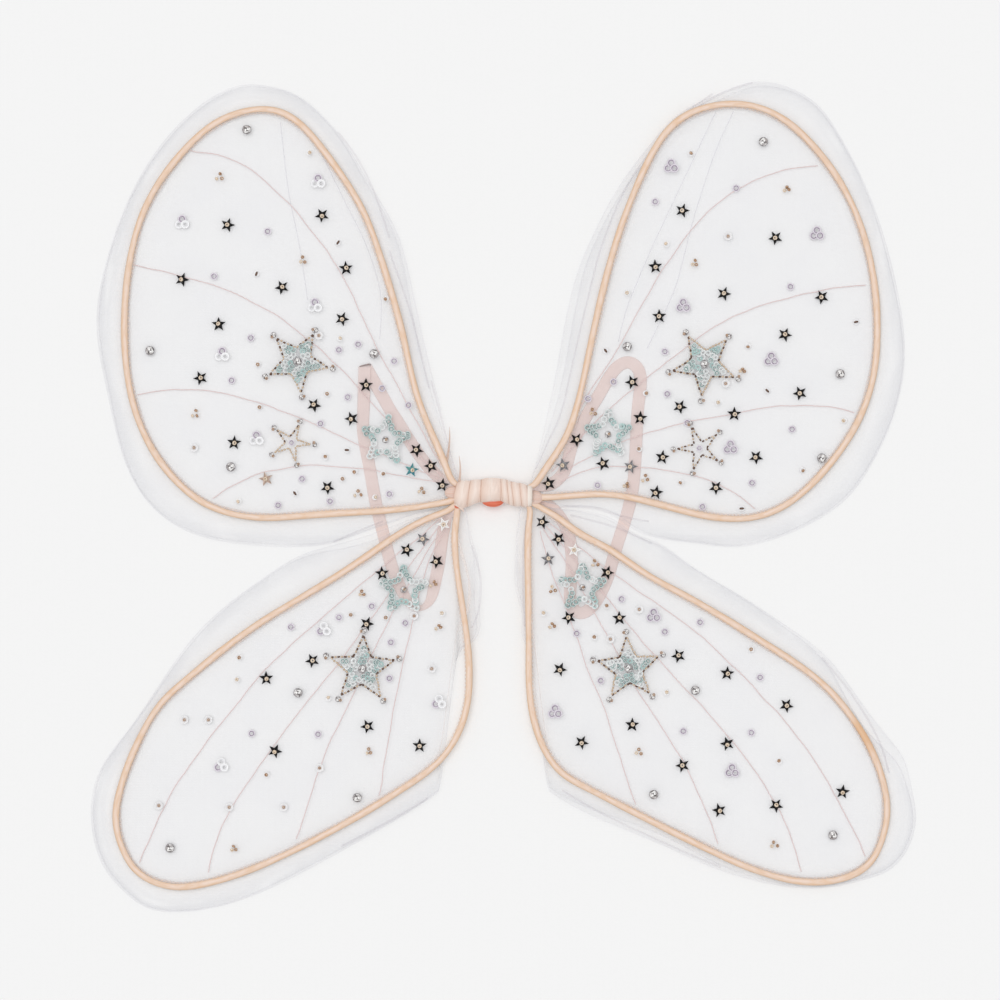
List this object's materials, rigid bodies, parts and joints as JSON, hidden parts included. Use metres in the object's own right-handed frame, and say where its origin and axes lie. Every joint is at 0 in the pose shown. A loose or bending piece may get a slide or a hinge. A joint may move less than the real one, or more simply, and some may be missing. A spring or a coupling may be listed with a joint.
{
  "type": "fairy wings",
  "caption": "Wearable costume wings: wired satin-edged organza panels with sequins and beads, joined by a ribbon-wound bridge and worn on elastic arm loops.",
  "frame": {"origin": "middle of the bridge's flat underside, which rests against the wearer's back", "axes": "+Z out of the decorated face, away from the wearer's back; +Y towards the tops of the upper wings; +X towards the right-hand wings as the decorated face is seen"},
  "size_m": [0.5155, 0.5186, 0.0129],
  "materials": {
    "nude_satin": "satin ribbon, nude peach",
    "coral_satin": "satin ribbon, coral",
    "binding_tape": "matt cotton binding tape",
    "steel_wire": "drawn steel wire",
    "nude_elastic": "ribbed flat elastic",
    "peach_satin": "satin bias tube",
    "organza": "sheer woven organza",
    "pink_thread": "fine embroidery thread",
    "gunmetal_foil": "black foil sequin",
    "lilac_film": "clear lilac sequin film",
    "pearl_film": "pearl iridescent sequin film",
    "champagne_glass_bead": "lustred seed bead",
    "crystal": "cut crystal in a silver setting",
    "aqua_sequin_work": "overlapping aqua and pearl sequins",
    "bronze_bead_work": "bronze and gold seed and bugle beads"
  },
  "bodies": {
    "bridge": {"bridge_ribbon": "nude_satin", "coral_lining": "coral_satin", "binding_tape": "binding_tape", "wire_ends": "steel_wire"},
    "upper_left_wing": {"upper_left_frame_wire": "steel_wire", "upper_left_wire_casing": "peach_satin", "upper_left_organza_front": "organza", "upper_left_organza_back": "organza", "upper_left_vein_embroidery": "pink_thread", "upper_left_star_sequins": "gunmetal_foil", "upper_left_ring_sequins": "lilac_film", "upper_left_cup_sequins": "pearl_film", "upper_left_seed_beads": "champagne_glass_bead", "upper_left_crystals": "crystal", "upper_left_filled_star": "aqua_sequin_work", "upper_left_aqua_star": "aqua_sequin_work", "upper_left_bead_star": "bronze_bead_work"},
    "upper_right_wing": {"upper_right_frame_wire": "steel_wire", "upper_right_wire_casing": "peach_satin", "upper_right_organza_front": "organza", "upper_right_organza_back": "organza", "upper_right_vein_embroidery": "pink_thread", "upper_right_star_sequins": "gunmetal_foil", "upper_right_ring_sequins": "lilac_film", "upper_right_cup_sequins": "pearl_film", "upper_right_seed_beads": "champagne_glass_bead", "upper_right_crystals": "crystal", "upper_right_filled_star": "aqua_sequin_work", "upper_right_aqua_star": "aqua_sequin_work", "upper_right_bead_star": "bronze_bead_work"},
    "lower_left_wing": {"lower_left_frame_wire": "steel_wire", "lower_left_wire_casing": "peach_satin", "lower_left_organza_front": "organza", "lower_left_organza_back": "organza", "lower_left_vein_embroidery": "pink_thread", "lower_left_star_sequins": "gunmetal_foil", "lower_left_ring_sequins": "lilac_film", "lower_left_cup_sequins": "pearl_film", "lower_left_seed_beads": "champagne_glass_bead", "lower_left_crystals": "crystal", "lower_left_filled_star": "aqua_sequin_work", "lower_left_aqua_star": "aqua_sequin_work"},
    "lower_right_wing": {"lower_right_frame_wire": "steel_wire", "lower_right_wire_casing": "peach_satin", "lower_right_organza_front": "organza", "lower_right_organza_back": "organza", "lower_right_vein_embroidery": "pink_thread", "lower_right_star_sequins": "gunmetal_foil", "lower_right_ring_sequins": "lilac_film", "lower_right_cup_sequins": "pearl_film", "lower_right_seed_beads": "champagne_glass_bead", "lower_right_crystals": "crystal", "lower_right_filled_star": "aqua_sequin_work", "lower_right_aqua_star": "aqua_sequin_work"},
    "left_strap": {"left_shoulder_strap": "nude_elastic"},
    "right_strap": {"right_shoulder_strap": "nude_elastic"}
  },
  "joints": [
    {"name": "upper_left_fold", "type": "hinge", "parent": "bridge", "child": "upper_left_wing", "pos_m": [-0.0252, 0, 0.0068], "axis": [0, 1, 0], "range_deg": [0, 85]},
    {"name": "upper_right_fold", "type": "hinge", "parent": "bridge", "child": "upper_right_wing", "pos_m": [0.0232, 0, 0.0068], "axis": [0, -1, 0], "range_deg": [0, 85]},
    {"name": "lower_left_fold", "type": "hinge", "parent": "bridge", "child": "lower_left_wing", "pos_m": [-0.0252, 0, 0.0068], "axis": [0, 1, 0], "range_deg": [0, 60]},
    {"name": "lower_right_fold", "type": "hinge", "parent": "bridge", "child": "lower_right_wing", "pos_m": [0.0232, 0, 0.0068], "axis": [0, -1, 0], "range_deg": [0, 60]},
    {"name": "left_strap_swing", "type": "hinge", "parent": "bridge", "child": "left_strap", "pos_m": [-0.0252, 0, 0], "axis": [0, -1, 0], "range_deg": [0, 90]},
    {"name": "right_strap_swing", "type": "hinge", "parent": "bridge", "child": "right_strap", "pos_m": [0.0232, 0, 0], "axis": [0, 1, 0], "range_deg": [0, 90]}
  ]
}
